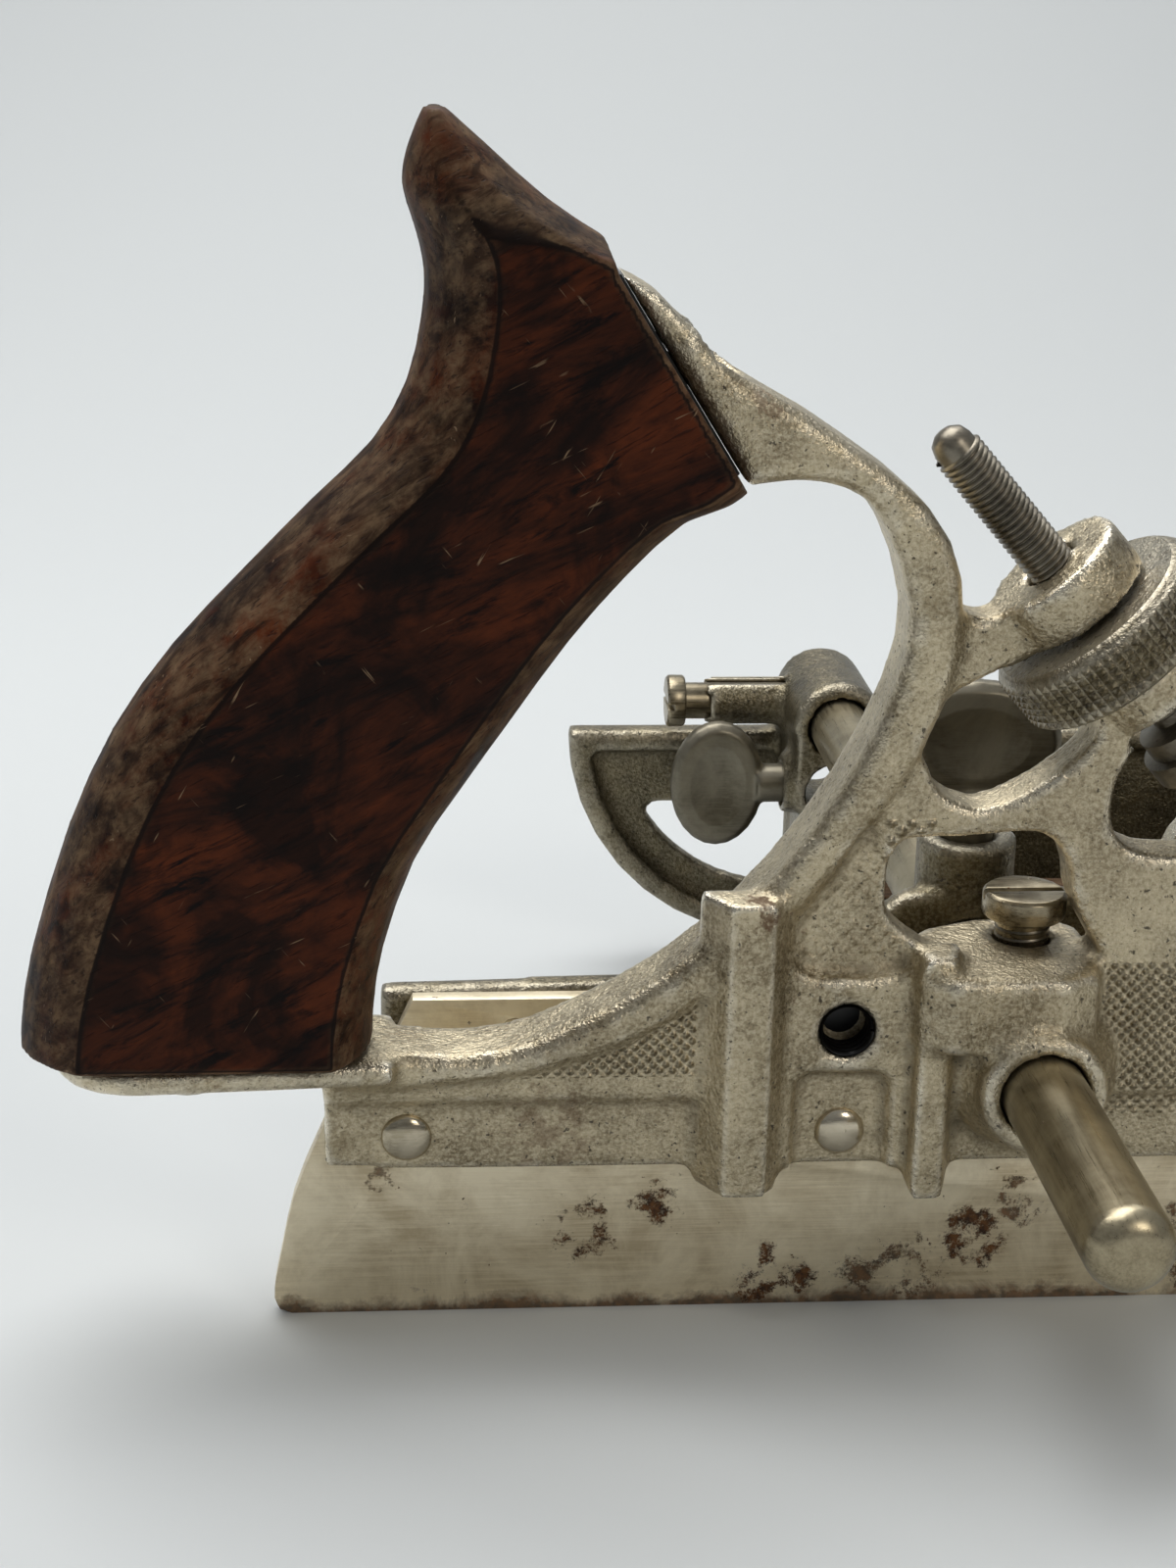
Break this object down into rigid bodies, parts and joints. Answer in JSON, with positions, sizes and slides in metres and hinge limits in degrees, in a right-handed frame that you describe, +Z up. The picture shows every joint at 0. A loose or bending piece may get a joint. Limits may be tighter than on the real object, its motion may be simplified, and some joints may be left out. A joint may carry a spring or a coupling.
{
  "type": "hand plane",
  "caption": "Metal combination plough plane with closed hardwood handle, steel skates, round arms, sliding section, screw-fed cutter, depth gauge and fence with knob.",
  "frame": {"origin": "on the sole of the main skate, at mid thickness, directly below the rear arm", "axes": "+X to the toe, +Y to the fence side, +Z up from the sole"},
  "size_m": [0.2971, 0.216, 0.1609],
  "materials": {
    "nickel": "worn matte nickel plate over grainy cast iron, bright on the edges",
    "steel": "smooth grey steel with light brown stain",
    "skate_steel": "brushed along its length, rust blotched at the lower edge",
    "polished_steel": "polished screw and rivet heads",
    "dark_steel": "oily dark threads",
    "rosewood": "semi-gloss dark rosewood, scratched and worn brown at the edges"
  },
  "bodies": {
    "main_body": {"main_stock": "nickel", "grip": "rosewood", "grip_foot_screw": "steel", "grip_horn_screw": "steel", "rear_skate": "skate_steel", "front_skate": "skate_steel", "skate_rivet_1": "polished_steel", "skate_rivet_2": "polished_steel", "skate_rivet_3": "polished_steel", "skate_rivet_4": "polished_steel", "skate_rivet_5": "polished_steel", "main_spur_screw": "polished_steel", "cutter_bolt": "dark_steel", "cutter_clip": "nickel"},
    "rear_arm": {"rear_arm": "steel"},
    "front_arm": {"front_arm": "steel"},
    "rear_clamp": {"rear_clamp_screw": "polished_steel"},
    "front_clamp": {"front_clamp_screw": "polished_steel"},
    "cutter": {"cutter": "steel", "adjusting_screw": "dark_steel"},
    "wheel": {"adjusting_wheel": "nickel"},
    "wing_nut": {"cutter_wing_nut": "nickel"},
    "gauge": {"depth_gauge": "nickel"},
    "gauge_nut": {"depth_nut": "nickel"},
    "gauge_lock": {"depth_thumbscrew": "nickel"},
    "main_spur": {"main_spur": "steel"},
    "section": {"section_stock": "nickel", "section_rear_skate": "skate_steel", "section_front_skate": "skate_steel", "section_rivet_1": "polished_steel", "section_rivet_2": "polished_steel", "section_rivet_3": "polished_steel", "section_rivet_4": "polished_steel", "section_spur_screw": "polished_steel"},
    "section_rear_thumb": {"section_rear_thumbscrew": "nickel"},
    "section_front_thumb": {"section_front_thumbscrew": "nickel"},
    "stop": {"bead_stop": "nickel"},
    "stop_nut": {"bead_stop_nut": "nickel"},
    "section_spur": {"section_spur": "steel"},
    "fence": {"fence_casting": "nickel", "fence_face": "rosewood", "fence_face_screw_1": "steel", "fence_face_screw_2": "steel", "fence_knob": "rosewood", "fence_knob_bolt": "polished_steel"},
    "fence_rear_clamp": {"fence_rear_clamp_screw": "polished_steel"},
    "fence_front_clamp": {"fence_front_clamp_screw": "polished_steel"},
    "fence_rear_thumb": {"fence_rear_thumbscrew": "nickel"},
    "fence_front_thumb": {"fence_front_thumbscrew": "nickel"}
  },
  "joints": [
    {"name": "rear_arm_slide", "type": "slide", "parent": "main_body", "child": "rear_arm", "axis": [0, 1, 0], "range_m": [-0.01, 0.035]},
    {"name": "front_arm_slide", "type": "slide", "parent": "main_body", "child": "front_arm", "axis": [0, 1, 0], "range_m": [-0.01, 0.035]},
    {"name": "section_slide", "type": "slide", "parent": "main_body", "child": "section", "axis": [0, 1, 0], "range_m": [0, 0.04]},
    {"name": "fence_slide", "type": "slide", "parent": "main_body", "child": "fence", "axis": [0, 1, 0], "range_m": [-0.064, 0.003]},
    {"name": "wheel_turn", "type": "hinge", "parent": "main_body", "child": "wheel", "pos_m": [0.0058, 0, 0.0882], "axis": [0.6652, 0, -0.7466], "range_deg": [-1816, 1363]},
    {"name": "cutter_feed", "type": "slide", "parent": "main_body", "child": "cutter", "axis": [0.6652, 0, -0.7466], "range_m": [-0.003, 0.004]},
    {"name": "wing_nut_turn", "type": "hinge", "parent": "main_body", "child": "wing_nut", "pos_m": [0.05573, -0.011, 0.05771], "axis": [0, -1, 0], "continuous": true},
    {"name": "rear_clamp_turn", "type": "hinge", "parent": "main_body", "child": "rear_clamp", "pos_m": [0, 0.005, 0.05], "axis": [0, 0, 1], "continuous": true},
    {"name": "front_clamp_turn", "type": "hinge", "parent": "main_body", "child": "front_clamp", "pos_m": [0.118, 0.005, 0.05], "axis": [0, 0, 1], "continuous": true},
    {"name": "gauge_nut_turn", "type": "hinge", "parent": "main_body", "child": "gauge_nut", "pos_m": [0.146, -0.0115, 0.047], "axis": [0, 0, 1], "range_deg": [-1703, 3404]},
    {"name": "gauge_slide", "type": "slide", "parent": "main_body", "child": "gauge", "axis": [0, 0, 1], "range_m": [-0.01, 0.005]},
    {"name": "gauge_lock_turn", "type": "hinge", "parent": "main_body", "child": "gauge_lock", "pos_m": [0.146, -0.02, 0.0386], "axis": [0, -1, 0], "continuous": true},
    {"name": "main_spur_turn", "type": "hinge", "parent": "main_body", "child": "main_spur", "pos_m": [0.112, -0.001, 0.01], "axis": [0, 1, 0], "continuous": true},
    {"name": "section_rear_thumb_turn", "type": "hinge", "parent": "section", "child": "section_rear_thumb", "pos_m": [0, 0.037, 0.06], "axis": [0, 0, 1], "continuous": true},
    {"name": "section_front_thumb_turn", "type": "hinge", "parent": "section", "child": "section_front_thumb", "pos_m": [0.118, 0.037, 0.06], "axis": [0, 0, 1], "continuous": true},
    {"name": "stop_slide", "type": "slide", "parent": "section", "child": "stop", "axis": [0, 0, 1], "range_m": [-0.008, 0.006]},
    {"name": "stop_nut_turn", "type": "hinge", "parent": "section", "child": "stop_nut", "pos_m": [0.0385, 0.042, 0.043], "axis": [0, 1, 0], "continuous": true},
    {"name": "section_spur_turn", "type": "hinge", "parent": "section", "child": "section_spur", "pos_m": [0.112, 0.029, 0.01], "axis": [0, 1, 0], "continuous": true},
    {"name": "fence_rear_clamp_turn", "type": "hinge", "parent": "fence", "child": "fence_rear_clamp", "pos_m": [-0.02, 0.152, 0.0336], "axis": [-1, 0, 0], "continuous": true},
    {"name": "fence_front_clamp_turn", "type": "hinge", "parent": "fence", "child": "fence_front_clamp", "pos_m": [0.138, 0.152, 0.0336], "axis": [1, 0, 0], "continuous": true},
    {"name": "fence_rear_thumb_turn", "type": "hinge", "parent": "fence", "child": "fence_rear_thumb", "pos_m": [-0.02, 0.141, 0.0215], "axis": [-1, 0, 0], "continuous": true},
    {"name": "fence_front_thumb_turn", "type": "hinge", "parent": "fence", "child": "fence_front_thumb", "pos_m": [0.138, 0.141, 0.0215], "axis": [1, 0, 0], "continuous": true}
  ],
  "couplings": [
    {"joint": "wheel_turn", "follows": "cutter_feed", "rad_per_m": -7916},
    {"joint": "gauge_nut_turn", "follows": "gauge_slide", "rad_per_m": -5937}
  ]
}
